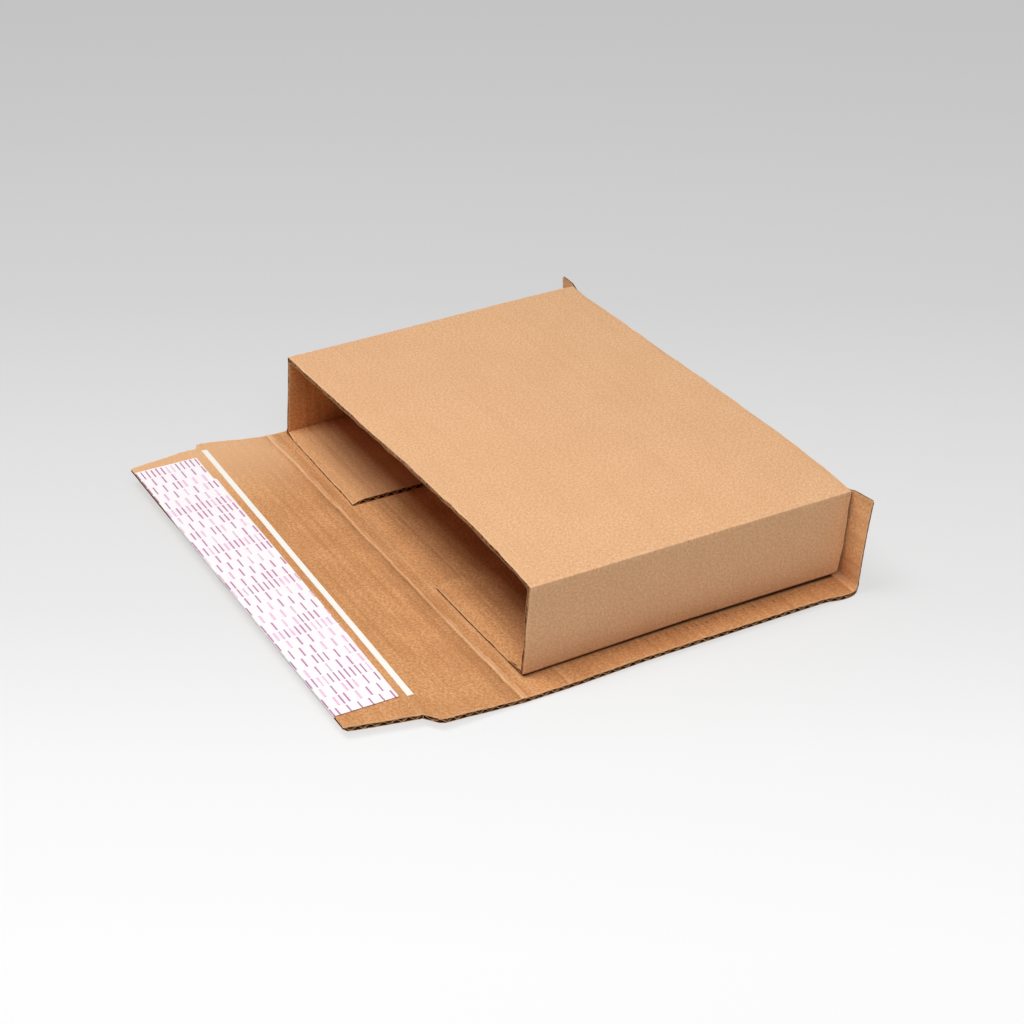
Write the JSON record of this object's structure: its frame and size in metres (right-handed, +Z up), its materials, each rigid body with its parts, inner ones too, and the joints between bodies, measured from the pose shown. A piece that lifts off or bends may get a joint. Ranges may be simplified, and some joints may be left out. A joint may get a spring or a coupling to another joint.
{
  "type": "corrugated wrap mailer",
  "caption": "Corrugated wrap mailer: glued sleeve on a wrap sheet with a self-seal closing flap, tear tape and a standing end flap.",
  "frame": {"origin": "middle of the base panel's underside", "axes": "+X along the wrap sheet, from the closing flap towards the end flap; +Y across it, from front to back; +Z up"},
  "size_m": [0.3227, 0.3426, 0.0681],
  "materials": {
    "kraft_inner": "matt brown kraft liner",
    "kraft_outer": "matt light kraft liner",
    "white_tape": "satin white film tape",
    "adhesive": "tacky cream adhesive",
    "liner_paper": "white release paper with pink dashes"
  },
  "bodies": {
    "carton": {"wrap_base": "kraft_inner", "sleeve": "kraft_outer"},
    "closing_wall": {"closing_flap": "kraft_inner", "tear_tape": "white_tape"},
    "sealing_flap": {"seal_flap": "kraft_inner", "adhesive_strip": "adhesive", "release_liner": "liner_paper"},
    "end_wall": {"end_flap": "kraft_inner"}
  },
  "joints": [
    {"name": "closing_fold", "type": "hinge", "parent": "carton", "child": "closing_wall", "pos_m": [-0.10835, 0, 0.0032], "axis": [0, 1, 0], "range_deg": [0, 84]},
    {"name": "seal_fold", "type": "hinge", "parent": "closing_wall", "child": "sealing_flap", "pos_m": [-0.17383, 0, 0.00925], "axis": [0, 1, 0], "range_deg": [0, 96]},
    {"name": "end_fold", "type": "hinge", "parent": "carton", "child": "end_wall", "pos_m": [0.10835, 0, 0], "axis": [0, 1, 0], "range_deg": [0, 90]}
  ]
}
